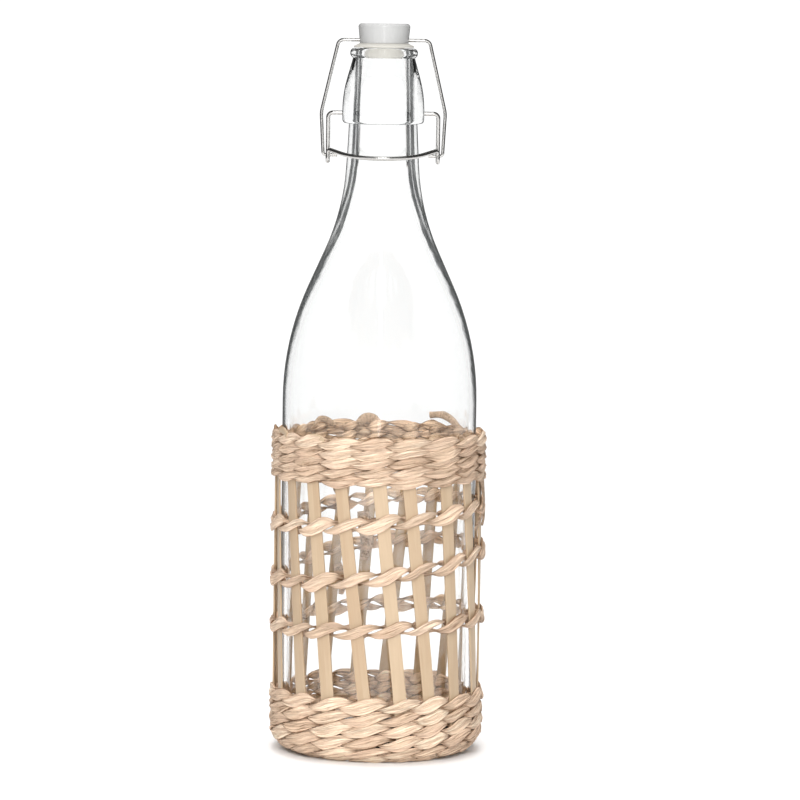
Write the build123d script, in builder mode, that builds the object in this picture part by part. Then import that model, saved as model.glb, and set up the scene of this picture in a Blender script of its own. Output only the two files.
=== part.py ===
from build123d import *
import os
from math import cos, degrees, radians, sin

# A clear swing-top bottle that stands in an open-work basket sleeve.
# The origin is the middle of the basket's foot, on the surface it stands on.
# Millimetres. +Z is up, and the bow of the closure is in front, at -Y.

# Glass bottle
bottle_r = 41.8
bottle_h = 298.4
bottle_corner_r = 9.5
wall = 2.9
floor_t = 5.0
punt_h = 6.0
punt_top_r = 8.0
punt_inset = 14.8
punt_bend = 12.0
bore_r = 9.2
bore_foot_r = 10.6
lip_bend = 1.5
shoulder_rise = 56.2
neck_run = 36.8
neck_foot_r = 16.6
neck_top_r = 14.7
shoulder_bend = 120.0
throat_bend = 100.0
collar_drop = 32.4
collar_r = 17.5
collar_bend = 1.6
collar_step = 0.4
barrel_r = 17.9
barrel_drop = 20.6
barrel_bend = 56.0
waist_r = 13.3
bead_r = 14.5
bead_h = 4.3
bead_bend = 1.9
dimple_drop = 27.8
dimple_depth = 2.2

# Lever wire of the closure
lever_wire_r = 0.9
lever_bend = 2.0
lever_span = 23.6
lever_arm = 18.1
over_centre = 0.6
eye_back_share = 1.2
eye_drop_share = 1.6
eye_bend_share = 0.9
eye_top_bend = 1.8
bow_rise = 2.5
bow_dip = 0.8
bow_front_half = 12.0
bow_bend = 20.0
pivot_clear = 0.08
end_clear = 0.3

# Bail wire of the closure
bail_wire_r = 0.72
bail_bend = 2.6
bail_head_half = 19.4
bail_waist_half = 26.6
bail_waist_drop = 31.0
bail_waist_bend = 12.0
bail_foot_half = 25.6
bail_pin_end = 19.5
bail_pin_bend = 1.2

# Stopper and gasket
gasket_gap = 0.3
gasket_t = 1.8
gasket_brim_r = 12.8
gasket_top_r = 10.3
gasket_edge_t = 0.6
plug_r = 8.8
plug_tip_r = 8.0
plug_h = 4.2
stem_r = 4.0
stem_clear = 0.05
button_r = 5.4
button_t = 1.2
head_foot_r = 10.4
head_top_r = 11.1
head_h = 8.4
head_bend = 1.4
head_floor = 0.5

# Basket sleeve
stake_count = 18
stake_w = 6.0
stake_t = 0.8
stake_top_h = 138.0
stake_corner_r = 10.0
stake_first_angle = -80.0
stake_lean_angle = 16.0
strand_t = 1.5
weave_gap = 0.1
crossing_gap = 0.5
wall_steps = 4
corner_steps = 4
pass_margin = 0.5
length_sections = 6
bottle_clear = 0.3
foot_lift = 0.2
corner_inset = 0.35
corner_crowd_share = 0.78
rim_rows = 5
rim_pitch = 3.9
rim_stand = 0.6
middle_row_w = 4.9
base_rows = 6
base_pitch = 5.1
base_lowest_share = 0.79
mat_gap = 0.3
mat_pocket_depth = 5.6
mat_edge_bend = 1.0

# How far each stake stands off its even place, as a share of the pitch
stake_top_shares = [
    0.15, 0.07, -0.05, -0.18, -0.09, -0.29, -0.06, -0.2, -0.13,
    0.05, -0.1, 0.12, -0.05, 0.1, -0.12, 0.06, -0.08, 0.1,
]
stake_foot_shares = [
    -0.15, -0.01, -0.06, 0.01, -0.01, -0.13, -0.25, -0.05, 0.04,
    -0.06, 0.1, -0.08, 0.06, -0.1, 0.02, -0.05, 0.08, -0.3,
]
# Height of each middle row at the front, its rise to the right and to the back, as
# shares of the sleeve's height
middle_row_shares = [(0.746, 0.031, 0.006), (0.58, 0.043, 0.019), (0.417, 0.016, 0.0)]

# Places worked out from the sizes above
overrun = bottle_r
stake_r = bottle_r + bottle_clear + strand_t + weave_gap + stake_t / 2
strand_offset = stake_t / 2 + weave_gap + strand_t / 2
stake_foot_h = strand_offset + strand_t / 2 + foot_lift
corner_centre_r = stake_r - stake_corner_r
corner_centre_h = stake_foot_h + stake_corner_r
mat_r = corner_centre_r - mat_gap
punt_ring_r = bottle_r - punt_inset
mat_h = 2 * stake_foot_h - foot_lift
stake_end_r = mat_r - mat_pocket_depth
rim_top_h = stake_top_h + rim_stand
glass_foot_h = mat_h + bottle_clear
shoulder_high_h = bottle_h - collar_drop - neck_run
shoulder_low_h = shoulder_high_h - shoulder_rise
rim_h = glass_foot_h + bottle_h
pivot_h = rim_h - dimple_drop
eye_h = pivot_h - lever_arm
gasket_foot_h = rim_h + gasket_gap
head_foot_h = gasket_foot_h + gasket_t
cross_wire_h = head_foot_h + head_floor + bail_wire_r + pivot_clear


def glass_outline():
    """Points and corner radii of the bottle's half section, from the punt up and back down inside."""
    punt = glass_foot_h + punt_h
    collar = rim_h - collar_drop
    points = [
        (0, punt, 0),
        (punt_top_r, punt, punt_bend),
        (punt_ring_r, glass_foot_h, punt_bend),
        (bottle_r, glass_foot_h, bottle_corner_r),
        (bottle_r, glass_foot_h + shoulder_low_h, shoulder_bend),
        (neck_foot_r, glass_foot_h + shoulder_high_h, throat_bend),
        (neck_top_r, collar, 0),
        (collar_r, collar + collar_step, collar_bend),
        (barrel_r, rim_h - barrel_drop, barrel_bend),
        (waist_r, rim_h - bead_h, 0),
        (bead_r, rim_h - bead_h + bead_r - waist_r, bead_bend),
        (bead_r, rim_h, bead_bend),
        (bore_r, rim_h, lip_bend),
        (bore_foot_r, glass_foot_h + shoulder_high_h + wall, throat_bend),
        (bottle_r - wall, glass_foot_h + shoulder_low_h - wall / 2, shoulder_bend - wall),
        (bottle_r - wall, glass_foot_h + floor_t, bottle_corner_r - wall / 2),
        (punt_ring_r, glass_foot_h + floor_t, punt_bend),
        (punt_top_r, punt + floor_t, punt_bend),
        (0, punt + floor_t, 0),
    ]
    return points


with BuildPart() as glass_bottle:
    with BuildSketch(Plane.XZ):
        with BuildLine():
            outline = glass_outline()
            FilletPolyline(
                [(r, h) for r, h, bend in outline],
                radius=[bend for r, h, bend in outline[1:-1]],
            )
            Line((0, outline[-1][1]), (0, outline[0][1]))
        make_face()
    revolve(axis=Axis.Z)
    for side in (-1, 1):
        with BuildSketch(Plane.YZ.offset(side * (collar_r - dimple_depth))):
            with Locations((0, pivot_h)):
                Circle(lever_wire_r + pivot_clear)
        extrude(amount=side * overrun, mode=Mode.SUBTRACT)
glass_bottle.part.label = "glass_bottle"


def lever_route():
    """Right half of the lever wire: out of the collar, down to the hairpin eye and round to the front."""
    eye_r = lever_wire_r + bail_wire_r + pivot_clear
    eye_foot_h = eye_h - eye_r * eye_drop_share
    neck_r = neck_top_r + (neck_foot_r - neck_top_r) * (lever_arm - bow_dip) / neck_run
    front = -(neck_r + bottle_clear + lever_wire_r)
    return [
        (collar_r - dimple_depth + end_clear, 0, pivot_h, 0),
        (lever_span, 0, pivot_h, lever_bend),
        (lever_span, over_centre + eye_r * eye_back_share, eye_foot_h, eye_r * eye_bend_share),
        (lever_span, over_centre - eye_r, eye_foot_h, eye_r * eye_bend_share),
        (lever_span, over_centre - eye_r, eye_h + bow_rise, eye_top_bend),
        (bow_front_half, front, eye_h - bow_dip, bow_bend),
    ]


def both_sides(route):
    """A route of points and bends, run on to its mirror image across the YZ plane."""
    mirrored = [(-x, y, h, bend) for x, y, h, bend in reversed(route)]
    whole = route + mirrored
    points = [(x, y, h) for x, y, h, bend in whole]
    return points, [bend for x, y, h, bend in whole[1:-1]]


with BuildPart() as lever_wire:
    points, bends = both_sides(lever_route())
    with BuildLine() as lever_line:
        FilletPolyline(points, radius=bends)
    with BuildSketch(Plane(lever_line.line @ 0, z_dir=lever_line.line % 0)):
        Circle(lever_wire_r)
    sweep(path=lever_line.wires()[0])
lever_wire.part.label = "lever_wire"


def bail_route():
    """Half of the bail wire, from the end of its pin up to the run through the stopper."""
    waist_lean = over_centre * bail_waist_drop / (cross_wire_h - eye_h)
    return [
        (bail_pin_end, over_centre, eye_h, 0),
        (bail_foot_half, over_centre, eye_h, bail_pin_bend),
        (bail_waist_half, waist_lean, cross_wire_h - bail_waist_drop, bail_waist_bend),
        (bail_head_half, 0, cross_wire_h, bail_bend),
    ]


with BuildPart() as bail_wire:
    points, bends = both_sides(bail_route())
    with BuildLine() as bail_line:
        FilletPolyline(points, radius=bends)
    with BuildSketch(Plane(bail_line.line @ 0, z_dir=bail_line.line % 0)):
        Circle(bail_wire_r)
    sweep(path=bail_line.wires()[0])
bail_wire.part.label = "bail_wire"

with BuildPart() as stopper:
    with BuildSketch(Plane.XZ):
        with BuildLine():
            Polyline(
                (0, head_foot_h + head_h),
                (0, gasket_foot_h - plug_h - button_t),
                (button_r, gasket_foot_h - plug_h - button_t),
                (button_r, gasket_foot_h - plug_h - stem_clear),
                (stem_r, gasket_foot_h - plug_h - stem_clear),
                (stem_r, head_foot_h + stem_clear),
                (head_foot_r, head_foot_h + stem_clear),
                (head_top_r, head_foot_h + head_h - head_bend),
            )
            RadiusArc(
                (head_top_r, head_foot_h + head_h - head_bend),
                (head_top_r - head_bend, head_foot_h + head_h),
                -head_bend,
            )
            Line((head_top_r - head_bend, head_foot_h + head_h), (0, head_foot_h + head_h))
        make_face()
    revolve(axis=Axis.Z)
    with BuildSketch(Plane.YZ):
        with Locations((0, cross_wire_h)):
            Circle(bail_wire_r + pivot_clear)
    extrude(amount=overrun, both=True, mode=Mode.SUBTRACT)
stopper.part.label = "stopper"

with BuildPart() as gasket:
    with BuildSketch(Plane.XZ):
        with BuildLine():
            Polyline(
                (stem_r + stem_clear, gasket_foot_h - plug_h),
                (plug_tip_r, gasket_foot_h - plug_h),
                (plug_r, gasket_foot_h),
                (gasket_brim_r, gasket_foot_h),
                (gasket_brim_r, gasket_foot_h + gasket_edge_t),
                (gasket_top_r, head_foot_h),
                (stem_r + stem_clear, head_foot_h),
                close=True,
            )
        make_face()
    revolve(axis=Axis.Z)
gasket.part.label = "gasket"


def stake_angle(index, h):
    """Where a stake stands round the sleeve at a height, in degrees from the front towards +X."""
    pitch = 360 / stake_count
    lap, place = divmod(index, stake_count)
    top = stake_first_angle + pitch * (place + stake_top_shares[place])
    foot = stake_first_angle + stake_lean_angle + pitch * (place + stake_foot_shares[place])
    down = (stake_top_h - max(h, corner_centre_h)) / (stake_top_h - corner_centre_h)
    return 360 * lap + top + (foot - top) * down


def wall_plane(angle, tilt, h, across, along, sideways):
    """Section plane across a strip of the sleeve: x points out of the weave and y up along it.

    The tilt is 0 on the wall and 90 under the base, and turns about the corner's centre.
    """
    turn = radians(tilt)
    reach = stake_corner_r + across
    r = corner_centre_r + reach * cos(turn) + along * sin(turn)
    up = h - reach * sin(turn) + along * cos(turn)
    course = radians(angle)
    out = Vector(sin(course), -cos(course), 0)
    side = Vector(cos(course), sin(course), 0)
    normal = out * cos(turn) + Vector(0, 0, -sin(turn))
    return Plane(out * r + Vector(0, 0, up) + side * sideways, x_dir=normal, z_dir=side)


def strand_sections(height_at, tilt, row_w, gap, first):
    """Section planes and widths of one strand of a twined row, all the way round the sleeve.

    It lies outside every second stake and inside the others. Outside it climbs to the
    right, and in each space between two stakes the row's two strands cross. Round the
    foot's corner the passes inside are narrower, as the rows crowd together there.
    """
    reach = stake_w / 2 + pass_margin
    sections = []
    for place in range(stake_count + 1):
        outside = (place + first) % 2 == 0
        width = (row_w - gap) / 2
        across = strand_offset
        if tilt and not outside:
            width *= corner_crowd_share
            across += corner_inset
        h = height_at(stake_angle(place, height_at(0)))
        angle = stake_angle(place, h)
        turn = 1 if outside else -1
        for side in (-1, 1):
            climb = turn * side * (width + gap) / 2
            plane = wall_plane(angle, tilt, h, turn * across, climb, side * reach)
            sections.append((plane, width))
    return sections[1:]


def strand_length(sections):
    """The side faces of one length of strand, lofted through its sections without its two ends."""
    with BuildPart() as length:
        for plane, width in sections:
            with BuildSketch(plane):
                Rectangle(strand_t, width)
        loft(ruled=True, clean=False)
    ends = (sections[0][0].origin, sections[-1][0].origin)
    return [
        face
        for face in length.faces()
        if min((face.center() - end).length for end in ends) > strand_t / 4
    ]


def closed_strand(height_at, tilt, row_w, gap, first):
    """One strand as a ring, sewn from lengths of a few stakes each."""
    sections = strand_sections(height_at, tilt, row_w, gap, first)
    faces = []
    for start in range(0, len(sections) - 1, length_sections):
        faces += strand_length(sections[start : start + length_sections + 1])
    return Solid(Shell(faces))


def flat_row(h):
    """The height of a row that runs level."""
    return lambda angle: h


def tilted_row(h, rise, back_rise):
    """The height of a row that climbs to the right and to the back."""
    return lambda angle: h + rise * sin(radians(angle)) + back_rise * (1 - cos(radians(angle)))


def make_row(label, height_at, tilt, row_w, gap):
    """A twined row: two strands that wind round each other between the stakes."""
    with BuildPart() as row:
        add(closed_strand(height_at, tilt, row_w, gap, 0))
        add(closed_strand(height_at, tilt, row_w, gap, 1))
    row.part.label = label
    return row


rows = []
for number in range(rim_rows):
    h = rim_top_h - rim_pitch * (number + 1 / 2)
    rim_row_w = rim_pitch - weave_gap
    rows.append(make_row(f"rim_row_{number + 1}", flat_row(h), 0, rim_row_w, weave_gap))
for number, (share, rise, back_rise) in enumerate(middle_row_shares):
    height_at = tilted_row(share * stake_top_h, rise * stake_top_h, back_rise * stake_top_h)
    rows.append(make_row(f"middle_row_{number + 1}", height_at, 0, middle_row_w, crossing_gap))
for number in range(base_rows):
    lowest = stake_corner_r * radians(90) * base_lowest_share
    run = lowest - base_pitch * (base_rows - 1 - number)
    tilt = degrees(max(run, 0) / stake_corner_r)
    h = corner_centre_h - min(run, 0)
    base_row_w = base_pitch - weave_gap
    rows.append(make_row(f"base_row_{number + 1}", flat_row(h), tilt, base_row_w, weave_gap))


def stake_planes(index):
    """Section planes of one stake, down the wall, round the foot's corner and in to its end."""
    planes = []
    for step in range(wall_steps + 1):
        h = stake_top_h + (corner_centre_h - stake_top_h) * step / wall_steps
        planes.append(wall_plane(stake_angle(index, h), 0, h, 0, 0, 0))
    foot_angle = stake_angle(index, 0)
    for step in range(1, corner_steps + 1):
        planes.append(wall_plane(foot_angle, 90 * step / corner_steps, corner_centre_h, 0, 0, 0))
    run_in = stake_end_r - corner_centre_r
    planes.append(wall_plane(foot_angle, 90, corner_centre_h, 0, run_in, 0))
    return [Plane(plane.origin, x_dir=plane.x_dir, z_dir=plane.y_dir) for plane in planes]


stakes = []
for index in range(stake_count):
    with BuildPart() as stake:
        for plane in stake_planes(index):
            with BuildSketch(plane):
                Rectangle(stake_t, stake_w)
        loft(ruled=True, clean=False)
    stake.part.label = f"stake_{index + 1:02d}"
    stakes.append(stake)

with BuildPart() as base_mat:
    with BuildSketch():
        Circle(mat_r)
    extrude(amount=mat_h)
    chamfer(base_mat.edges().group_by(Axis.Z)[-1], mat_edge_bend)
    for index in range(stake_count):
        turn = radians(stake_angle(index, 0))
        with BuildSketch(Plane((0, 0, stake_foot_h), x_dir=(cos(turn), sin(turn), 0))):
            with Locations((0, weave_gap - stake_end_r)):
                Rectangle(
                    stake_w + 2 * weave_gap, overrun, align=(Align.CENTER, Align.MAX)
                )
        extrude(amount=stake_t / 2 + weave_gap, both=True, mode=Mode.SUBTRACT)
base_mat.part.label = "base_mat"

closure = [stopper, gasket, bail_wire, lever_wire]
os.makedirs("parts", exist_ok=True)
for piece in [glass_bottle, base_mat] + closure + rows + stakes:
    export_step(piece.part, f"parts/{piece.part.label}.step")
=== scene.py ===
"""A clear glass swing-top bottle in an open basket sleeve of split bamboo twined with husk."""

import math
import random

import bmesh
import bpy
from bpy.props import FloatProperty, FloatVectorProperty, PointerProperty
from bpy.types import Operator, Panel, PropertyGroup
from mathutils import Matrix, Vector, noise


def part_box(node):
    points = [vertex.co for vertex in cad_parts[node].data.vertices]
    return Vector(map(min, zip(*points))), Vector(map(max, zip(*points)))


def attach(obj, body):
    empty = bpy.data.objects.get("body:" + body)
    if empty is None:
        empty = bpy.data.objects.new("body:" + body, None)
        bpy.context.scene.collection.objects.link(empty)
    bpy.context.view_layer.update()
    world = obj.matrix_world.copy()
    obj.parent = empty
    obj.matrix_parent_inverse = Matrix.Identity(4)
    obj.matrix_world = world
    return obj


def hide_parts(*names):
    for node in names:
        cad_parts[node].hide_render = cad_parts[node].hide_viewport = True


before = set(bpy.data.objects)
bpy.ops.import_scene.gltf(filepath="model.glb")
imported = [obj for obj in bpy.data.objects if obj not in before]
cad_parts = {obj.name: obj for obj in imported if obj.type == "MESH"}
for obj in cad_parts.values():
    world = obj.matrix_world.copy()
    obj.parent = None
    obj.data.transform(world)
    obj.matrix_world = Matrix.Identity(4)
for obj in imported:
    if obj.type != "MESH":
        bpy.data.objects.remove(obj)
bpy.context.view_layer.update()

bl_info = {
    "name": "Swing-top bottle in a basket sleeve",
    "version": (1, 0, 0),
    "blender": (4, 5, 0),
    "location": "View3D > Sidebar > Bottle",
    "description": "Builds the husk, bamboo, glass and wire of a bottle in its sleeve",
    "category": "Object",
}

MM = 0.001

# The sleeve's wall, the same as the solids have, in metres and degrees
STAKE_COUNT = 18
STAKE_FIRST_ANGLE = -80.0
STAKE_LEAN_ANGLE = 16.0
STAKE_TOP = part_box("stake_01")[1].z
CORNER_R = 0.010
CORNER_CENTRE_R = 0.0341
CORNER_CENTRE_H = 0.0122
STAKE_END_R = 0.0282
STRAND_OFFSET = 0.00125
STAKE_TOP_SHARES = [
    0.15, 0.07, -0.05, -0.18, -0.09, -0.29, -0.06, -0.2, -0.13,
    0.05, -0.1, 0.12, -0.05, 0.1, -0.12, 0.06, -0.08, 0.1,
]
STAKE_FOOT_SHARES = [
    -0.15, -0.01, -0.06, 0.01, -0.01, -0.13, -0.25, -0.05, 0.04,
    -0.06, 0.1, -0.08, 0.06, -0.1, 0.02, -0.05, 0.08, -0.3,
]

# The twined rows: how many, how far apart round the foot, and how far a pass climbs
RIM_ROWS = 5
BASE_ROWS = 6
BASE_PITCH = 0.0051
BASE_LOWEST_SHARE = 0.79
RIM_CLIMB_SHARE = 0.27
MIDDLE_CLIMB = 0.0018
BASE_CLIMB_SHARE = 0.28
MIDDLE_SECOND_SHARE = 0.72
# Height at the front, rise to the right and rise to the back, as shares of the sleeve's height
MIDDLE_ROW_SHARES = [(0.746, 0.031, 0.006), (0.58, 0.043, 0.019), (0.417, 0.016, 0.0)]

# What differs from pass to pass, in the order drawn: least, most and unit
PASS_RANGES = {
    "wide": (0.8, 1.18, 1),
    "lift": (-0.45, 0.45, MM),
    "out": (0.0, 0.5, MM),
    "twist": (0.02, 0.3, 1),
    "turn": (-0.4, 0.7, 1),
    "folds": (1.1, 2.4, 1),
    "phase": (0, 1, 1),
    "tone": (0.44, 0.84, 1),
    "left": (0.04, 0.18, 1),
    "right": (0.04, 0.22, 1),
    "shift": (-0.06, 0.06, 1),
}
# Where a pass starts and ends to change, as shares of the way from its stake to the next: its own
# shift dies out, it narrows, it tucks in between stakes, it lies behind the next stake, and it gets
# painted shade where it dives
SHIFT_FADES = (0.5, 1.0)
NARROWS = (0.1, 0.62)
TUCKS_IN = (0.59, 0.79)
LIES_INSIDE = (0.7, 0.97)
PAINTED_DIVE_SPAN = (0.46, 0.66)
# The taper of a pass to each side: where it ends, and its power
LEFT_TAPER = (0.66, 1.6)
RIGHT_TAPER = (0.68, 1.9)
# A pass's slant off the wall, its width behind a stake, and its section
PASS_SLANT = 0.55 * MM
INSIDE_WIDTH, INSIDE_SWELL = 0.45, 0.4
FOOT_NARROWING = 0.2
THICK_SHARE, THICK_LOSS = 0.95, 0.25
CROWN_POWER, CREASE_POWER = 0.42, 0.4
# Unevenness of its folds: how much, how often from stake to stake, and how often a millimetre
RIPPLE_NOISE, RIPPLES_ALONG, RIPPLES_ACROSS = 0.9, 2.0, 1.7
# Its slow and quick sways: how often from stake to stake, and how far in millimetres
SLOW_SWAYS, SLOW_REACH = 0.9, 0.4
QUICK_SWAYS, QUICK_REACH = 4.0, 0.25
SEED_STEP = 1.7
# Painted shade at a pass's edges and where it dives, and painted light on its folds: where the edge
# shade starts and ends, then how much of each
PAINTED_EDGE_SPAN = (0.84, 1.0)
PAINTED_EDGE_SHADE, PAINTED_DIVE_SHADE, PAINTED_FOLD_LIGHT = 0.5, 0.34, 0.08

# A stake: the range of its width, lean and tone, how square it is, and the painted shade on its
# edges
STAKE_WIDE = (0.92, 1.08)
STAKE_LEAN = (-0.12, 0.12)
STAKE_TONE = (0.36, 0.66)
STAKE_SQUARENESS = 0.35
STAKE_SHADED_EDGE = (0.9, 1.0)
STAKE_PAINTED_EDGE_SHADE = 0.18
# Its swells and drifts: how much, how often a millimetre, and the step from stake to stake
SWELL_SHARE, SWELLS, SWELL_STEP = 0.05, 0.03, 3.1
DRIFT_REACH, DRIFTS, DRIFT_STEP = 0.25, 0.02, 7.3

# The bottom's rings: how square, wide and lumpy they are, and their tone, with painted light where
# they swell
MAT_RINGS = 8
MAT_SQUARENESS = 0.7
MAT_OVERLAP = 0.56
MAT_SWELL = 0.15
MAT_RING_TURN = 2.1
MAT_LUMPS, MAT_LUMP_REACH = 6, 0.3
MAT_TONE, MAT_SWELL_PAINTED_LIGHT = 0.35, 0.2

# Loose bits, each with its points, then its width and thickness in millimetres. A point is
# degrees round from the front, height and distance out of the wall in millimetres, and its
# share of the width
HUSK_ENDS = [
    # Two knots on the back of the rim
    ([(208, 137, 0, 0.5), (213, 139, 0.8, 1), (219, 139.6, 0.8, 1), (224, 137, 0, 0.6)], 3.4, 2.4),
    ([(180, 137, 0, 0.7), (184, 139.4, 0.6, 1), (189, 139.6, 0.6, 1), (194, 137, 0, 0.6)],
     4.6, 3.0),
    # The stub that stands up at the right of the rim
    ([(147, 142.4, -1, 0.9), (140, 143, 0, 1), (131, 141, 1, 0.95), (121, 137.5, 1, 0.8)],
     3.6, 2.7),
    # Two strands that hang down the right side
    ([(73, 121, 1.2, 0.7), (80, 113, 1.7, 1), (76, 105, 1.9, 0.9), (66, 98, 1.6, 0.6)], 3.0, 0.8),
    ([(86, 120, 1.0, 0.7), (82, 111, 1.8, 1), (88, 103, 1.6, 0.9), (93, 98, 1.0, 0.6)], 2.6, 0.8),
    # A cut end inside, under the rim at the left
    ([(-27, 122, -2.4, 0.8), (-25.5, 118, -2.8, 1), (-23, 114.5, -2.6, 0.8), (-22, 112, -2.2, 0.4)],
     3.4, 1.0),
    # Two torn tufts inside at the back
    ([(190, 99, -2.2, 0.9), (188.5, 92, -2.6, 1.1), (187, 85, -2.6, 1), (189, 77, -2.2, 0.6)],
     6.0, 0.7),
    ([(207, 76, -2.2, 0.8), (205, 71, -2.6, 1.1), (203, 67, -2.6, 0.9), (204, 62, -2.2, 0.5)],
     5.4, 0.7),
]
BAMBOO_TIPS = [
    # Two stake ends folded over the rim at the left
    ([(-72, 136.5, 0.9, 0.8), (-69, 139.2, 1.0, 1), (-64, 139.8, 1.1, 1), (-59, 138.2, 1.5, 0.9)],
     3.2, 0.9),
    ([(-43, 137.6, 1.5, 0.9), (-39, 139.0, 1.2, 1), (-34, 138.9, 1.3, 1), (-30, 137.5, 1.6, 0.8)],
     2.2, 0.8),
]
LOOSE_TONE = (0.4, 0.6)
LOOSE_SQUARENESS = 0.75
LOOSE_FOLD = 0.15 * MM
LOOSE_FOLDS_ACROSS, LOOSE_FOLDS_ALONG = 2.4, 3
LOOSE_AHEAD = 0.02
NEAR_END = 1e-6

# Steps along and sides round each kind of tube
STRAND_STEPS, STRAND_SIDES = STAKE_COUNT * 18, 32
STAKE_STEPS, STAKE_SIDES = 100, 16
MAT_STEPS, MAT_SIDES = 120, 14
LOOSE_STEPS, LOOSE_SIDES = 40, 12
STAKE_MARGIN, LOOSE_MARGIN = 0.01, 0.02
CLOSED_END = 0.001
WELD = 0.002 * MM
LOWEST = 0.1 * MM
SHARP_ANGLE = math.radians(50)

# Where each group's random draws and marks start
MIDDLE_SEED, BASE_SEED, STAKE_SEED, TIP_SEED, LOOSE_TONE_SEED = 10, 20, 500, 20, 900
MAT_LAP, HUSK_END_LAP, TIP_LAP = 40, 60, 80

# Gain on the husk's colours for each group, the bottom's being painted light for the shade it lies
# in, and painted light on the faces that look in at the bottle, which lie in shade
FOOT_LIGHT, MAT_PAINTED_LIGHT, ENDS_LIGHT = 1.07, 1.35, 0.78
BAMBOO_INSIDE_LIGHT = (1.08, 1.0, 0.88)
HUSK_INSIDE_LIGHT = (1.22, 1.19, 1.12)
INSIDE_EDGE, INSIDE_SHARES = 12.0, [(0.25, 1.0), (0.6, 0.0)]

# The glass's painted shade: a dark surface mixed in at its edges, for the dark lines that clear
# glass shows against white. Its colour, its most, and how dark its outer face is painted as it
# turns away, seen from outside and seen from within the glass
GLASS_PAINTED_EDGE_SHADE = (0.035, 0.04, 0.04)
GLASS_PAINTED_EDGE_MOST = 0.93
GLASS_PAINTED_OUTLINE = [(0.72, 0.0), (0.8, 0.7), (0.93, 0.7), (1.0, 0.3)]
GLASS_PAINTED_WALL = [
    (0.272, 0.0), (0.292, 1.0), (0.35, 0.95), (0.38, 0.3), (0.41, 1.0), (0.49, 1.0), (0.55, 0.0),
]

# The light all round: plain paper, soft light that fades to the sides, and what gloss shows
PAPER = 1.1
SOFT_LIGHT, SOFT_FADE, SOFT_LEAN = 1.45, 2.3, 0.18
GLOSS_SHADES = [(0.0, 1.0), (0.2, 0.08), (0.6, 0.05), (0.9, 0.1), (1.0, 0.2)]
GROUND_SHADES = [(0.34, 1.0), (0.42, 0.0)]
STRIP_HALF, STRIP_START, STRIP_LIGHT = 0.03, -0.2, 5.0

# The studio: the floor's reach, and each light's name, place, size and power
FLOOR_REACH = 1.1
LIGHT_TARGET = Vector((0, 0, 0.15))
LIGHTS = [
    ("key", (-0.15, -2.0, 1.1), 1.0, 29),
    ("fill", (0.3, -2.0, 0.5), 1.0, 8),
    ("top", (0.0, 0.1, 1.3), 0.5, 6),
]

# The photograph's view
CAMERA_DISTANCE = 1.8
CAMERA_RIGHT = 0.0088
CAMERA_PITCH = 5.13
CAMERA_ROLL = 0.77
CAMERA_LENS = 188.6
CAMERA_SENSOR = 36.0


def colour(name, words, default):
    """A colour setting."""
    return FloatVectorProperty(
        name=name, description=words, default=default, size=3, subtype="COLOR", min=0, max=1
    )


def length(name, words, default):
    """A length setting, in metres."""
    return FloatProperty(name=name, description=words, default=default, unit="LENGTH")


class SleeveSizes(PropertyGroup):
    """Sizes of the sleeve's bamboo and husk."""

    stake_width: length("Stake width", "Width of each split bamboo stake", 0.006)
    stake_thickness: length("Stake thickness", "Thickness of each stake", 0.0009)
    strand_thickness: length("Strand thickness", "Thickness of a folded husk strand", 0.0015)
    rim_leaf: length("Rim pass width", "Widest place of a husk pass in the rim band", 0.0052)
    middle_leaf: length("Middle pass width", "Widest place of a pass in the open middle", 0.0064)
    foot_leaf: length("Foot pass width", "Widest place of a husk pass round the foot", 0.0057)
    crease_depth: length("Crease depth", "Depth of the folds along a strand", 0.00024)


class SleeveColours(PropertyGroup):
    """Colours of the bottle, its closure and its sleeve."""

    bamboo: colour("Bamboo", "Face of a stake", (0.45, 0.335, 0.222))
    # The stake's darker colour: the real colour of its grain, and the painted shade on its edges
    bamboo_grain_and_edge_shade: colour("Bamboo, deep", "Grain and edges of a stake", (0.36, 0.235, 0.14))
    husk: colour("Husk", "Light faces of the husk", (0.76, 0.56, 0.405))
    # The husk's darkest colour: the real colour of its veins, and the painted shade in its folds,
    # at the edges of its passes and where they dive
    husk_veins_and_shade: colour("Husk, deep", "Folds and veins of the husk", (0.25, 0.135, 0.07))
    husk_pink: colour("Husk, pink", "Passes with a pinker cast", (0.75, 0.52, 0.385))
    glass: colour("Glass", "Clear glass", (0.975, 0.98, 0.978))
    plastic: colour("Stopper", "White plastic of the stopper", (0.44, 0.44, 0.435))
    seal: colour("Seal", "Cream rubber of the seal", (0.62, 0.60, 0.55))
    steel: colour("Wire", "Plated wire", (0.56, 0.55, 0.535))
    floor: colour("Floor", "The floor it stands on", (0.93, 0.93, 0.93))


class Value:
    """A number that varies over a surface. Arithmetic on it adds the shader's Math nodes."""

    def __init__(self, paint, socket):
        self.paint = paint
        self.socket = socket

    def maths(self, operation, first, second=None):
        """One Math node, on one value or two."""
        inputs = {0: first} if second is None else {0: first, 1: second}
        return self.paint.add("ShaderNodeMath", {"operation": operation}, inputs)

    def __add__(self, other):
        return self.maths("ADD", self, other)

    def __radd__(self, other):
        return self.maths("ADD", other, self)

    def __sub__(self, other):
        return self.maths("SUBTRACT", self, other)

    def __rsub__(self, other):
        return self.maths("SUBTRACT", other, self)

    def __mul__(self, other):
        return self.maths("MULTIPLY", self, other)

    def __rmul__(self, other):
        return self.maths("MULTIPLY", other, self)

    def size(self):
        """The value without its sign."""
        return self.maths("ABSOLUTE", self)

    def most(self, other):
        """The greater of the two."""
        return self.maths("MAXIMUM", self, other)

    def least(self, other):
        """The lesser of the two."""
        return self.maths("MINIMUM", self, other)

    def over(self, edge):
        """1 where the value is above the edge, and 0 elsewhere."""
        return self.maths("GREATER_THAN", self, edge)

    def swing(self, share):
        """A value from 0 to 1 moved to swing about 0, by a share of its range."""
        return (self - 0.5) * share


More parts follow.
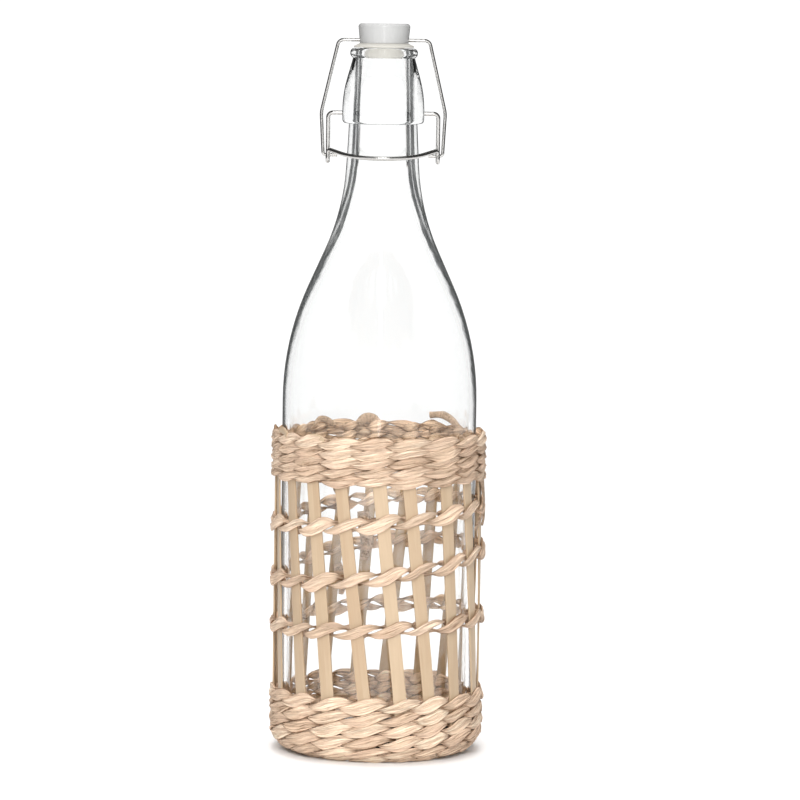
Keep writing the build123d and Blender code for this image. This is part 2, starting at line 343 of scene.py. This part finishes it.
class Paint:
    """The nodes of one material, or of the light all round."""

    def __init__(self, name, world=None):
        self.owner = world or bpy.data.materials.new(name)
        self.owner.use_nodes = True
        self.tree = self.owner.node_tree
        self.tree.nodes.clear()

    def add(self, kind, settings=None, inputs=None, output=0):
        """Adds a node, makes its settings, then fills its sockets, and gives one output."""
        node = self.tree.nodes.new(kind)
        for key, value in (settings or {}).items():
            if key == "stops":
                ramp = node.color_ramp
                while len(ramp.elements) < len(value):
                    ramp.elements.new(0.5)
                for element, (place, shade) in zip(ramp.elements, value):
                    element.position = place
                    element.color = (*shade, 1)
            else:
                setattr(node, key, value)
        for key, value in (inputs or {}).items():
            socket = node.inputs[key]
            if isinstance(value, Value):
                self.tree.links.new(value.socket, socket)
            elif socket.type == "RGBA" and len(value) == 3:
                socket.default_value = (*value, 1)
            else:
                socket.default_value = value
        return Value(self, node.outputs[output])

    def place(self, scale=(1.0, 1.0, 1.0), kind="Object"):
        """Object or UV coordinates, stretched by a scale for each axis."""
        where = self.add("ShaderNodeTexCoord", output=kind)
        return self.add("ShaderNodeMapping", {}, {"Vector": where, "Scale": scale})

    def noise(self, where, scale, detail, roughness):
        """Cloudy noise from 0 to 1."""
        inputs = {"Vector": where, "Scale": scale, "Detail": detail, "Roughness": roughness}
        return self.add("ShaderNodeTexNoise", {}, inputs)

    def marks(self, along, around, detail, roughness=0.5):
        """Noise that follows a strand or stake, with so many marks along it and around it."""
        return self.noise(self.place((along, around, 1.0), "UV"), 1.0, detail, roughness)

    def cloud(self, scale, detail, roughness=0.5, upright=1.0):
        """Noise through the whole piece, drawn out in height where upright is small."""
        return self.noise(self.place((1.0, 1.0, upright)), scale, detail, roughness)

    def own_tone(self):
        """The tone that the mesh gives each place, with the painted shade and light that it
        carries.
        """
        return self.add("ShaderNodeAttribute", {"attribute_name": "tone"}, output="Fac")

    def outward(self):
        """Above 0 on faces that look away from the axis, and below 0 on those that look in."""
        sides = {0: self.place((1.0, 1.0, 0.0)), 1: self.add("ShaderNodeTexCoord", output="Normal")}
        return self.add(
            "ShaderNodeVectorMath", {"operation": "DOT_PRODUCT"}, sides, output="Value"
        )

    def ray(self, kind):
        """1 for one kind of ray, and 0 for the others."""
        return self.add("ShaderNodeLightPath", output=f"Is {kind} Ray")

    def ramp(self, value, stops):
        """Colours along a value."""
        return self.add("ShaderNodeValToRGB", {"stops": stops}, {"Fac": value})

    def greys(self, value, stops):
        """Greys along a value."""
        return self.ramp(value, [(place, grey(shade)) for place, shade in stops])

    def mottled(self, value, shade, share, low=0.2, high=0.8):
        """A colour that falls to a share of itself where the value is low."""
        return self.ramp(value, [(low, gained(shade, share)), (high, shade)])

    def mix(self, share, first, second, blend="MIX"):
        """Two colours mixed by a share."""
        settings = {"data_type": "RGBA", "blend_type": blend}
        return self.add("ShaderNodeMix", settings, {0: share, 6: first, 7: second}, output=2)

    def bump(self, height, depth, strength):
        """A normal from a height."""
        inputs = {"Height": height, "Distance": depth, "Strength": strength}
        return self.add("ShaderNodeBump", {}, inputs)

    def blend(self, share, first, second):
        """Two surfaces mixed by a share."""
        return self.add("ShaderNodeMixShader", {}, {0: share, 1: first, 2: second})

    def surface(self, **sockets):
        """A surface shader, with its sockets' names written with underscores."""
        named = {key.replace("_", " "): value for key, value in sockets.items()}
        return self.add("ShaderNodeBsdfPrincipled", {}, named)

    def close(self, shader, kind="ShaderNodeOutputMaterial"):
        """Joins the last shader to the output, and gives the finished material."""
        output = self.tree.nodes.new(kind)
        self.tree.links.new(shader.socket, output.inputs["Surface"])
        return self.owner

    def finish(self, **sockets):
        """The material of one surface shader."""
        return self.close(self.surface(**sockets))


def grey(shade):
    """A grey of one shade."""
    return (shade, shade, shade)


def gained(shade, gain):
    """A colour times a gain."""
    return [channel * gain for channel in shade]


def lightened(shade, gain, lift=0.0):
    """A colour times a gain, then lifted, and never past white."""
    return [min(1.0, channel * gain + lift) for channel in shade]


def painted_light_inside(paint, shade, gain):
    """Painted light: a colour with a gain for each channel on faces that look in at the bottle,
    where the sleeve's inside lies in shade.
    """
    inner = paint.greys(paint.outward() * INSIDE_EDGE + 0.5, INSIDE_SHARES)
    return paint.mix(inner, shade, paint.mix(1.0, shade, gain, "MULTIPLY"))


def bamboo_paint(colours):
    """Split bamboo: pale straw, fine grain along the stake, a cast of its own for each stake, and
    painted shade on its edges.
    """
    paint = Paint("split bamboo")
    grain = paint.marks(7.0, 40.0, 5.0, 0.65)
    cloud = paint.marks(3.0, 2.5, 3.0)
    tone = grain.swing(0.55) + cloud.swing(0.7) + paint.own_tone()
    light = lightened(colours.bamboo, 1.14, 0.03)
    shade = paint.ramp(tone, [(0.0, colours.bamboo_grain_and_edge_shade), (0.5, colours.bamboo), (1.0, light)])
    return paint.finish(
        Base_Color=painted_light_inside(paint, shade, BAMBOO_INSIDE_LIGHT),
        Roughness=0.4 + grain * 0.2,
        Normal=paint.bump(grain, 0.1 * MM, 0.4),
    )


def husk_paint(name, colours, light=1.0):
    """Dry husk: long fine veins along the strand, painted shade in its folds, and a cast for each
    pass.
    """
    paint = Paint(name)
    veins = paint.marks(22.0, 9.0, 6.0, 0.66)
    folds = paint.marks(13.0, 11.0, 2.0)
    cast = paint.marks(17.0, 1.0, 2.0)
    flecks = paint.cloud(900.0, 4.0, 0.6)
    crease = (1.0 - (folds - 0.5).size() * 14.0).most(0.0)
    # The tone: veins, cast and flecks, the mesh's tone with its painted shade and light, and
    # painted shade in the creases of the folds
    tone = veins.swing(1.9) + cast.swing(0.6) + flecks.swing(0.3) + paint.own_tone() - crease * 0.2
    husk, deep = gained(colours.husk, light), gained(colours.husk_veins_and_shade, light)
    middle = [channel * 0.8 + dark * 0.2 for channel, dark in zip(husk, deep)]
    shades = [(0.0, deep), (0.36, middle), (0.62, husk), (1.0, lightened(husk, 1.2, 0.14))]
    pinker = paint.greys(cast, [(0.45, 0.0), (0.65, 0.45)])
    shade = paint.mix(pinker, paint.ramp(tone, shades), gained(colours.husk_pink, light))
    return paint.finish(
        Base_Color=painted_light_inside(paint, shade, HUSK_INSIDE_LIGHT),
        Roughness=0.46 + veins * 0.3,
        Normal=paint.bump(veins - crease * 0.4, 1.3 * MM, 0.9),
        Specular_IOR_Level=0.2,
    )


def glass_paint(colours):
    """Clear pressed glass with the faint waviness of its mould.

    Its outline, and its wall where it is seen edge on, get painted shade: a dark surface mixed in
    as the face turns away, for the fine dark lines that clear glass shows against white. Shadows
    and soft light pass it.
    """
    paint = Paint("clear glass")
    wave = paint.cloud(55.0, 2.0, upright=0.25)
    fine = paint.cloud(240.0, 3.0)
    streak = paint.cloud(420.0, 3.0, upright=0.12)
    bend = paint.cloud(170.0, 3.0, upright=0.4)
    glass = paint.surface(
        Base_Color=paint.ramp(wave, [(0.0, colours.glass), (1.0, lightened(colours.glass, 1.01))]),
        Roughness=fine * 0.01,
        Normal=paint.bump(wave, 0.12 * MM, 0.2),
        IOR=1.5,
        Transmission_Weight=1.0,
    )
    # dark: the painted shade, a dark surface mixed in at the glass's edges
    dark = paint.surface(Base_Color=GLASS_PAINTED_EDGE_SHADE, Roughness=0.35)
    facing = paint.add("ShaderNodeLayerWeight", {}, {"Blend": 0.5}, output="Facing")
    behind = paint.add("ShaderNodeNewGeometry", output="Backfacing")
    painted_outline = paint.greys(facing, GLASS_PAINTED_OUTLINE)
    wall = paint.greys(facing + bend.swing(0.05), GLASS_PAINTED_WALL)
    share = paint.mix(behind, painted_outline, wall)
    # The share of painted shade on faces that look away from the axis, as they turn away, streaked,
    # and never past its most
    edge = (paint.outward().over(0.0) * share * (0.55 + streak * 0.75)).least(GLASS_PAINTED_EDGE_MOST)
    clear = paint.add("ShaderNodeBsdfTransparent", {}, {"Color": grey(0.99)})
    passing = paint.ray("Shadow").most(paint.ray("Diffuse"))
    return paint.close(paint.blend(passing, paint.blend(edge, glass, dark), clear))


def steel_paint(colours):
    """Plated wire, bright, with fine drawing marks."""
    paint = Paint("plated wire")
    marks = paint.cloud(420.0, 3.0)
    return paint.finish(
        Base_Color=paint.mottled(marks, colours.steel, 0.86, 0.3, 0.7),
        Roughness=0.12 + marks * 0.12,
        Metallic=1.0,
        Normal=paint.bump(marks, 0.01 * MM, 0.3),
    )


def plastic_paint(colours):
    """White glossy plastic of the stopper's head."""
    paint = Paint("white plastic")
    cloud = paint.cloud(160.0, 3.0)
    return paint.finish(
        Base_Color=paint.mottled(cloud, colours.plastic, 0.97),
        Roughness=0.16 + cloud * 0.08,
        Normal=paint.bump(cloud, 0.02 * MM, 0.3),
        Coat_Weight=0.4,
        Coat_Roughness=0.05,
    )


def seal_paint(colours):
    """Soft pale rubber that lets a little light through."""
    paint = Paint("pale rubber")
    cloud = paint.cloud(220.0, 4.0)
    return paint.finish(
        Base_Color=paint.mottled(cloud, colours.seal, 0.94),
        Roughness=0.35 + cloud * 0.15,
        Normal=paint.bump(cloud, 0.04 * MM, 0.4),
        Transmission_Weight=0.2,
        IOR=1.42,
    )


def floor_paint(colours):
    """A pale, matt floor."""
    paint = Paint("pale floor")
    cloud = paint.cloud(3.0, 3.0)
    return paint.finish(
        Base_Color=paint.mottled(cloud, colours.floor, 0.985, 0.0, 1.0),
        Roughness=0.6 + cloud * 0.1,
        Specular_IOR_Level=0.0,
    )


def stake_angle(index, h):
    """Where a stake stands round the sleeve at a height, in degrees from the front towards +X."""
    pitch = 360 / STAKE_COUNT
    lap, place = divmod(index, STAKE_COUNT)
    top = STAKE_FIRST_ANGLE + pitch * (place + STAKE_TOP_SHARES[place])
    foot = STAKE_FIRST_ANGLE + STAKE_LEAN_ANGLE + pitch * (place + STAKE_FOOT_SHARES[place])
    down = (STAKE_TOP - max(h, CORNER_CENTRE_H)) / (STAKE_TOP - CORNER_CENTRE_H)
    return 360 * lap + top + (foot - top) * down


def outward_course(angle):
    """The level direction away from the sleeve's axis, at an angle round from the front."""
    course = math.radians(angle)
    return Vector((math.sin(course), -math.cos(course), 0))


def wall_point(angle, tilt, h, across, along, sideways=0.0):
    """A point of the sleeve's wall. The tilt is 0 on the wall and 90 under the base."""
    turn, course = math.radians(tilt), math.radians(angle)
    reach = CORNER_R + across
    r = CORNER_CENTRE_R + reach * math.cos(turn) + along * math.sin(turn)
    up = h - reach * math.sin(turn) + along * math.cos(turn)
    side = Vector((math.cos(course), math.sin(course), 0))
    return outward_course(angle) * r + Vector((0, 0, up)) + side * sideways


def between_stakes(place, height_at):
    """The angle and height of a row at a place counted in stakes."""
    index = math.floor(place)
    share = place - index
    h = height_at(stake_angle(index, height_at(0)))
    near, far = stake_angle(index, h), stake_angle(index + 1, h)
    angle = near + (far - near) * share
    return angle, height_at(angle)


def skin(mesh, steps, sides, place, lap):
    """A tube of so many steps and sides, each vertex put where place(u, v) says, with its tone.

    Its UV runs with the tube, moved on by a lap so that no two tubes have the same marks.
    """
    half = 0.5
    grid = bmesh.ops.create_grid(
        mesh, x_segments=steps, y_segments=sides, size=half, calc_uvs=True
    )
    uv = mesh.loops.layers.uv.active
    tone = mesh.verts.layers.float["tone"]
    for vert in grid["verts"]:
        for loop in vert.link_loops:
            loop[uv].uv.x += lap
        vert.co, vert[tone] = place(vert.co.x + half, vert.co.y + half)
        vert.co.z = max(vert.co.z, LOWEST)
    bmesh.ops.remove_doubles(mesh, verts=grid["verts"], dist=WELD)


def new_mesh():
    """An empty bmesh with a UV layer and a tone for each vertex."""
    mesh = bmesh.new()
    mesh.loops.layers.uv.new("UVMap")
    mesh.verts.layers.float.new("tone")
    return mesh


def make_piece(mesh, name, paint, body, nodes=()):
    """The finished object: outward faces, smooth shading, its material and body, with the solids
    that it stands for hidden.
    """
    bmesh.ops.recalc_face_normals(mesh, faces=mesh.faces)
    data = bpy.data.meshes.new(name)
    mesh.to_mesh(data)
    mesh.free()
    piece = bpy.data.objects.new(name, data)
    bpy.context.scene.collection.objects.link(piece)
    data.materials.append(paint)
    data.shade_smooth()
    data.set_sharp_from_angle(angle=SHARP_ANGLE)
    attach(piece, body)
    if nodes:
        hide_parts(*nodes)


def bow(value, power):
    """A share raised to a power that keeps its sign."""
    return math.copysign(abs(value) ** power, value)


def ease(value, start, end):
    """0 before the start, 1 past the end, and smooth between."""
    share = min(max((value - start) / (end - start), 0), 1)
    return share * share * (3 - 2 * share)


def sway(x, y, z, size):
    """A smooth random length of up to about a size in millimetres, read from noise at x, y, z."""
    return noise.noise(Vector((x, y, z))) * size * MM


def inner_share(u, margin):
    """How far along a tube lies u, with a margin at each end that stays there."""
    return min(max((u - margin) / (1 - 2 * margin), 0), 1)


def is_end(u):
    """Whether u is at one of a tube's closed ends."""
    return u < CLOSED_END or u > 1 - CLOSED_END


def tapered(away, tip, taper):
    """Width of a pass outside the stakes, from 1 at its own stake to its tip's share."""
    end, power = taper
    return 1 - (1 - tip) * min(1, away / end) ** power


def draw_passes(seed):
    """What is special about each pass of one strand."""
    draw = random.Random(seed)
    return [
        {key: draw.uniform(low, high) * unit for key, (low, high, unit) in PASS_RANGES.items()}
        for _ in range(STAKE_COUNT)
    ]


def strand_place(height_at, tilt, climb, leaf_w, sizes, first, seed):
    """Where each point of one twined strand lies, and its tone, for skin; the tone has painted
    shade at its edges and where it dives, and painted light on its folds.

    A pass outside a stake is a long flat leaf shape, pointed where it starts low on the left
    and on top of the last pass, narrower where it tucks in high on the right. At its own
    stake its lower edge stands out.
    """
    passes = draw_passes(seed)

    def place(u, v):
        at = u * STAKE_COUNT
        angle, h = between_stakes(at, height_at)
        outer = 2 * round((at + first) / 2) - first
        own = passes[outer % STAKE_COUNT]
        share = at - outer
        other = passes[(outer + (1 if share > 0 else -1)) % STAKE_COUNT]
        share += own["shift"] * (1 - ease(abs(share), *SHIFT_FADES))
        away = abs(share)
        tucked = ease(away, *TUCKS_IN)
        full = 1 - ease(away, *NARROWS)
        deep = ease(away, *LIES_INSIDE)
        across = STRAND_OFFSET * (1 - 2 * tucked) + own["out"] * full - other["out"] * deep
        across -= PASS_SLANT * share * (1 - tucked)
        along = climb * math.sin(math.pi * share) + own["lift"] * full + other["lift"] * deep

        tip, taper = (own["left"], LEFT_TAPER) if share < 0 else (own["right"], RIGHT_TAPER)
        outside = tapered(away, tip, taper) * own["wide"]
        inside = (INSIDE_WIDTH + INSIDE_SWELL * deep) * other["wide"]
        width = leaf_w * (outside * (1 - tucked) + inside * tucked)
        if tilt:
            width *= 1 - FOOT_NARROWING * deep
        reach = 1 - 4 * abs((v + 0.25) % 1 - 0.5)
        side = 1 if math.cos(math.tau * v) > 0 else -1
        y = width / 2 * reach
        crown = max(0, 1 - reach * reach)
        thick = sizes.strand_thickness * (THICK_SHARE - THICK_LOSS * full)
        x = side * thick / 2 * crown**CROWN_POWER

        fold = (own["folds"] * y / width + own["phase"]) % 1
        ripple = 1 - 4 * abs(fold - 0.5)
        spot = Vector((at * RIPPLES_ALONG, y / MM * RIPPLES_ACROSS, seed))
        ripple += RIPPLE_NOISE * noise.noise(spot)
        x += sizes.crease_depth * ripple * side * crown**CREASE_POWER
        twist = (own["twist"] + own["turn"] * share * (1 - tucked)) * (1 - 2 * tucked)
        across += x * math.cos(twist) - y * math.sin(twist)
        along += x * math.sin(twist) + y * math.cos(twist)
        along += sway(at * SLOW_SWAYS, seed * SEED_STEP, 0.3, SLOW_REACH)
        along += sway(at * QUICK_SWAYS, seed * SEED_STEP + reach * 2, 0.7, QUICK_REACH)

        # Its tone: the passes' own tones, with painted light on the folds, and painted shade at the
        # edges and where it dives under the next pass
        tone = own["tone"] * (1 - tucked) + other["tone"] * tucked + PAINTED_FOLD_LIGHT * ripple
        tone -= PAINTED_EDGE_SHADE * ease(abs(reach), *PAINTED_EDGE_SPAN)
        tone -= PAINTED_DIVE_SHADE * ease(away, *PAINTED_DIVE_SPAN) * (1 - deep)
        return wall_point(angle, tilt, h, across, along), tone

    return place


def flat_row(h):
    """The height of a row that runs level."""
    return lambda angle: h


def tilted_row(h, rise, back_rise):
    """The height of a row that climbs to the right and to the back."""
    return lambda angle: (
        h + rise * math.sin(math.radians(angle)) + back_rise * (1 - math.cos(math.radians(angle)))
    )


def make_row(node, height_at, tilt, climb, leaf_ws, paint, seed):
    """One twined row, both strands, each with its own width."""
    sizes = bpy.context.scene.sleeve_sizes
    mesh = new_mesh()
    for first, leaf_w in enumerate(leaf_ws):
        own_seed = seed * 2 + first
        place = strand_place(height_at, tilt, climb, leaf_w, sizes, first, own_seed)
        skin(mesh, STRAND_STEPS, STRAND_SIDES, place, own_seed)
    make_piece(mesh, f"husk_{node}", paint, "basket", [node])


def stake_place(index, sizes):
    """Where each point of one stake lies, and its tone with painted shade on its edges, for skin,
    with its ends closed.
    """
    draw = random.Random(STAKE_SEED + index)
    wall = STAKE_TOP - CORNER_CENTRE_H
    corner = CORNER_R * math.pi / 2
    whole = wall + corner + CORNER_CENTRE_R - STAKE_END_R
    wide = draw.uniform(*STAKE_WIDE)
    lean = draw.uniform(*STAKE_LEAN)
    tone = draw.uniform(*STAKE_TONE)

    def place(u, v):
        run = inner_share(u, STAKE_MARGIN) * whole
        tilt = math.degrees(min(max((run - wall) / CORNER_R, 0), math.pi / 2))
        h = max(STAKE_TOP - run, CORNER_CENTRE_H)
        along = -max(run - wall - corner, 0)
        around = math.tau * v
        full = 0.0 if is_end(u) else 1.0
        swell = noise.noise(Vector((run / MM * SWELLS, index * SWELL_STEP, 0)))
        grow = 1 + SWELL_SHARE * swell
        half_w = sizes.stake_width * wide * grow / 2
        y = full * half_w * bow(math.sin(around), STAKE_SQUARENESS)
        x = full * sizes.stake_thickness / 2 * bow(math.cos(around), STAKE_SQUARENESS) + lean * y
        drift = sway(run / MM * DRIFTS, index * DRIFT_STEP, 4, DRIFT_REACH)
        edge = ease(abs(math.sin(around)), *STAKE_SHADED_EDGE)
        spot = wall_point(stake_angle(index, h), tilt, h, x, along, y + drift)
        # The stake's own tone, with painted shade on its edges
        return spot, tone - STAKE_PAINTED_EDGE_SHADE * edge

    return place


def mat_ring_place(ring, step, low_h, high_h):
    """Where each point of one ring of the bottom lies, and its tone with painted light where it
    swells, for skin.
    """
    turns = max(4, round(STAKE_COUNT * (ring + 1) / MAT_RINGS) * 2)

    def place(u, v):
        course, around = math.tau * u, math.tau * v
        wave = math.cos(turns * course + ring * MAT_RING_TURN)
        swell = 1 - MAT_SWELL + MAT_SWELL * wave**2
        r = step * (ring + 0.5)
        r += step * MAT_OVERLAP * bow(math.cos(around), MAT_SQUARENESS) * swell
        r += sway(course * MAT_LUMPS, ring, around, MAT_LUMP_REACH)
        z = (low_h + high_h) / 2
        z += (high_h - low_h) / 2 * bow(math.sin(around), MAT_SQUARENESS) * swell
        spot = Vector((r * math.sin(course), -r * math.cos(course), z))
        # Its tone, with painted light where the ring swells
        return spot, MAT_TONE + MAT_SWELL_PAINTED_LIGHT * swell

    return place


def smooth_route(points, share):
    """A point on the smooth line through a few points, at a share of its way."""
    spans = len(points) - 1
    at = min(share * spans, spans - NEAR_END)
    index = int(at)
    t = at - index
    before, after = points[max(index - 1, 0)], points[min(index + 2, spans)]
    return [
        0.5 * (
            2 * b
            + (c - a) * t
            + (2 * a - 5 * b + 4 * c - d) * t**2
            + (3 * b - 3 * c + d - a) * t**3
        )
        for a, b, c, d in zip(before, points[index], points[index + 1], after)
    ]


def route_spot(points, share):
    """The spot at a share of a loose strand's way, its angle round and its width's share."""
    angle, h, out, wide = smooth_route(points, share)
    return wall_point(angle, 0, h * MM, out * MM, 0), angle, wide


def loose_place(points, width, thick, seed):
    """Where each point of a loose bit of husk or bamboo lies, and how light it is, for skin."""
    tone = random.Random(LOOSE_TONE_SEED + seed).uniform(*LOOSE_TONE)

    def place(u, v):
        share = inner_share(u, LOOSE_MARGIN)
        spot, angle, wide = route_spot(points, share)
        if is_end(u):
            return spot, tone
        ahead = route_spot(points, min(share + LOOSE_AHEAD, 1))[0]
        behind = route_spot(points, max(share - LOOSE_AHEAD, 0))[0]
        course = (ahead - behind).normalized()
        side = course.cross(outward_course(angle)).normalized()
        face = side.cross(course).normalized()
        around = math.tau * v
        y = width * wide * MM / 2 * math.sin(around)
        x = thick * MM / 2 * bow(math.cos(around), LOOSE_SQUARENESS)
        turn = y / MM * LOOSE_FOLDS_ACROSS + seed + share * LOOSE_FOLDS_ALONG
        fold = LOOSE_FOLD * math.sin(turn)
        x += fold if math.cos(around) > 0 else -fold
        return spot + side * y + face * x, tone

    return place


def make_loose_bits(name, bits, seed, lap, paint):
    """All loose bits of one kind as one piece, with seeds and laps that run on from the first."""
    mesh = new_mesh()
    for number, (points, width, thick) in enumerate(bits):
        place = loose_place(points, width, thick, seed + number)
        skin(mesh, LOOSE_STEPS, LOOSE_SIDES, place, lap + number)
    make_piece(mesh, name, paint, "basket")


class SLEEVE_OT_stakes(Operator):
    """Eighteen stakes of split bamboo, each its own piece."""

    bl_idname = "sleeve.stakes"
    bl_label = "Stakes"

    def execute(self, context):
        paint = bamboo_paint(context.scene.sleeve_colours)
        for index in range(STAKE_COUNT):
            mesh = new_mesh()
            place = stake_place(index, context.scene.sleeve_sizes)
            skin(mesh, STAKE_STEPS, STAKE_SIDES, place, index)
            node = f"stake_{index + 1:02d}"
            make_piece(mesh, f"bamboo_{node}", paint, "basket", [node])
        return {"FINISHED"}


class SLEEVE_OT_rows(Operator):
    """The twined rows of the rim band, the open middle and the foot."""

    bl_idname = "sleeve.rows"
    bl_label = "Twined rows"

    def execute(self, context):
        sizes = context.scene.sleeve_sizes
        colours = context.scene.sleeve_colours
        paint = husk_paint("dry husk", colours)
        for number in range(RIM_ROWS):
            node = f"rim_row_{number + 1}"
            low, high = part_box(node)
            h, climb = (low.z + high.z) / 2, (high.z - low.z) * RIM_CLIMB_SHARE
            make_row(node, flat_row(h), 0, climb, [sizes.rim_leaf] * 2, paint, number)

        widths = [sizes.middle_leaf, sizes.middle_leaf * MIDDLE_SECOND_SHARE]
        for number, shares in enumerate(MIDDLE_ROW_SHARES):
            height_at = tilted_row(*(share * STAKE_TOP for share in shares))
            node, seed = f"middle_row_{number + 1}", MIDDLE_SEED + number
            make_row(node, height_at, 0, MIDDLE_CLIMB, widths, paint, seed)

        paint = husk_paint("dry husk, foot", colours, FOOT_LIGHT)
        lowest = CORNER_R * math.pi / 2 * BASE_LOWEST_SHARE
        climb = BASE_PITCH * BASE_CLIMB_SHARE
        for number in range(BASE_ROWS):
            run = lowest - BASE_PITCH * (BASE_ROWS - 1 - number)
            tilt = math.degrees(max(run, 0) / CORNER_R)
            height_at = flat_row(CORNER_CENTRE_H - min(run, 0))
            node, seed = f"base_row_{number + 1}", BASE_SEED + number
            make_row(node, height_at, tilt, climb, [sizes.foot_leaf] * 2, paint, seed)
        return {"FINISHED"}


class SLEEVE_OT_mat(Operator):
    """The closed bottom that the bottle stands on, of husk laid in rings."""

    bl_idname = "sleeve.mat"
    bl_label = "Bottom"

    def execute(self, context):
        # The bottom lies in shade inside the sleeve, so its husk gets painted light: its colours
        # are made lighter
        paint = husk_paint("dry husk, painted light", context.scene.sleeve_colours, MAT_PAINTED_LIGHT)
        low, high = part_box("base_mat")
        mesh = new_mesh()
        for ring in range(MAT_RINGS):
            place = mat_ring_place(ring, high.x / MAT_RINGS, low.z, high.z)
            skin(mesh, MAT_STEPS, MAT_SIDES, place, MAT_LAP + ring)
        make_piece(mesh, "husk_mat", paint, "basket", ["base_mat"])
        return {"FINISHED"}


class SLEEVE_OT_loose_ends(Operator):
    """Knots, stubs, torn ends of husk and folded stake ends, on the rim and in the sleeve."""

    bl_idname = "sleeve.loose_ends"
    bl_label = "Loose ends"

    def execute(self, context):
        colours = context.scene.sleeve_colours
        paint = husk_paint("dry husk, ends", colours, ENDS_LIGHT)
        make_loose_bits("husk_loose_ends", HUSK_ENDS, 0, HUSK_END_LAP, paint)
        paint = bamboo_paint(colours)
        make_loose_bits("bamboo_tips", BAMBOO_TIPS, TIP_SEED, TIP_LAP, paint)
        return {"FINISHED"}


class BOTTLE_OT_glass(Operator):
    """The clear glass bottle."""

    bl_idname = "bottle.glass"
    bl_label = "Glass"

    def execute(self, context):
        dress("glass_bottle", glass_paint(context.scene.sleeve_colours))
        return {"FINISHED"}


class BOTTLE_OT_closure(Operator):
    """The stopper, its seal and both wires."""

    bl_idname = "bottle.closure"
    bl_label = "Closure"

    def execute(self, context):
        colours = context.scene.sleeve_colours
        dress("stopper", plastic_paint(colours))
        dress("gasket", seal_paint(colours))
        wire = steel_paint(colours)
        dress("lever_wire", wire)
        dress("bail_wire", wire)
        return {"FINISHED"}


def dress(node, paint):
    """A solid's own object with a better material."""
    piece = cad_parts[node]
    piece.data.materials.clear()
    piece.data.materials.append(paint)


def area_light(name, where, size, power):
    """A soft light aimed at the bottle. Glass and gloss don't show it."""
    light = bpy.data.lights.new(name, "AREA")
    light.size = size
    light.energy = power
    lamp = bpy.data.objects.new(name, light)
    lamp.location = where
    lamp.visible_glossy = False
    lamp.visible_transmission = False
    lamp.rotation_euler = (LIGHT_TARGET - Vector(where)).to_track_quat("-Z", "Y").to_euler()
    bpy.context.scene.collection.objects.link(lamp)


def studio_world():
    """The light all round: white paper to the eye, and a soft light that fades to both sides.

    Gloss shows other paper: white straight in front and below, dark elsewhere, with a narrow
    bright strip up the middle of the front.
    """
    light = Paint("studio", bpy.data.worlds.new("studio"))
    course = light.place(kind="Generated")
    across, back, up = (
        light.add("ShaderNodeSeparateXYZ", {}, {0: course}, output=axis) for axis in "XYZ"
    )
    soft = (SOFT_LIGHT - across * across * SOFT_FADE - across * SOFT_LEAN).most(0.0)
    dark = light.greys(back * 0.5 + 0.5, GLOSS_SHADES)
    strip = (STRIP_HALF - across.size()).over(0.0) * (STRIP_START - back).over(0.0)
    ground = light.greys(up * 0.5 + 0.5, GROUND_SHADES)
    gloss = light.mix(ground, light.mix(strip, dark, grey(STRIP_LIGHT)), grey(1.0))
    plain = light.ray("Camera").most(light.ray("Transmission"))
    shade = light.mix(plain, light.mix(light.ray("Glossy"), soft, gloss), grey(PAPER))
    glow = light.add("ShaderNodeBackground", {}, {"Color": shade, "Strength": 1.0})
    return light.close(glow, "ShaderNodeOutputWorld")


class STUDIO_OT_stage(Operator):
    """The pale floor, the soft light and the camera."""

    bl_idname = "studio.stage"
    bl_label = "Stage"

    def execute(self, context):
        scene = context.scene
        mesh = bmesh.new()
        bmesh.ops.create_grid(mesh, x_segments=2, y_segments=2, size=FLOOR_REACH)
        data = bpy.data.meshes.new("floor")
        mesh.to_mesh(data)
        mesh.free()
        floor = bpy.data.objects.new("floor", data)
        scene.collection.objects.link(floor)
        data.materials.append(floor_paint(scene.sleeve_colours))

        scene.world = studio_world()
        for light in LIGHTS:
            area_light(*light)
        scene.view_settings.view_transform = "Standard"

        camera = bpy.data.cameras.new("camera")
        camera.lens = CAMERA_LENS
        camera.sensor_width = CAMERA_SENSOR
        eye = bpy.data.objects.new("camera", camera)
        scene.collection.objects.link(eye)
        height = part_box("stopper")[1].z
        place = Matrix.Translation((CAMERA_RIGHT, -CAMERA_DISTANCE, height))
        tilt = Matrix.Rotation(math.radians(90 - CAMERA_PITCH), 4, "X")
        roll = Matrix.Rotation(math.radians(CAMERA_ROLL), 4, "Z")
        eye.matrix_world = place @ tilt @ roll
        scene.camera = eye
        return {"FINISHED"}


class VIEW3D_PT_bottle(Panel):
    """The bottle's operators and settings."""

    bl_label = "Bottle"
    bl_space_type = "VIEW_3D"
    bl_region_type = "UI"
    bl_category = "Bottle"

    def draw(self, context):
        layout = self.layout
        for operator in OPERATORS:
            layout.operator(operator.bl_idname)
        for settings in (context.scene.sleeve_sizes, context.scene.sleeve_colours):
            for key in settings.__annotations__:
                layout.prop(settings, key)


SETTINGS = (SleeveSizes, SleeveColours)
OPERATORS = (
    BOTTLE_OT_glass,
    BOTTLE_OT_closure,
    SLEEVE_OT_stakes,
    SLEEVE_OT_rows,
    SLEEVE_OT_mat,
    SLEEVE_OT_loose_ends,
    STUDIO_OT_stage,
)
CLASSES = SETTINGS + OPERATORS + (VIEW3D_PT_bottle,)


def register():
    """Makes the classes and the scene's settings known to Blender."""
    for kind in CLASSES:
        bpy.utils.register_class(kind)
    bpy.types.Scene.sleeve_sizes = PointerProperty(type=SleeveSizes)
    bpy.types.Scene.sleeve_colours = PointerProperty(type=SleeveColours)


def unregister():
    """Takes the settings and the classes away again."""
    del bpy.types.Scene.sleeve_colours
    del bpy.types.Scene.sleeve_sizes
    for kind in reversed(CLASSES):
        bpy.utils.unregister_class(kind)


def main():
    """Builds every piece and the stage."""
    register()
    for operator in OPERATORS:
        group, name = operator.bl_idname.split(".")
        getattr(getattr(bpy.ops, group), name)()


if __name__ == "__main__":
    main()
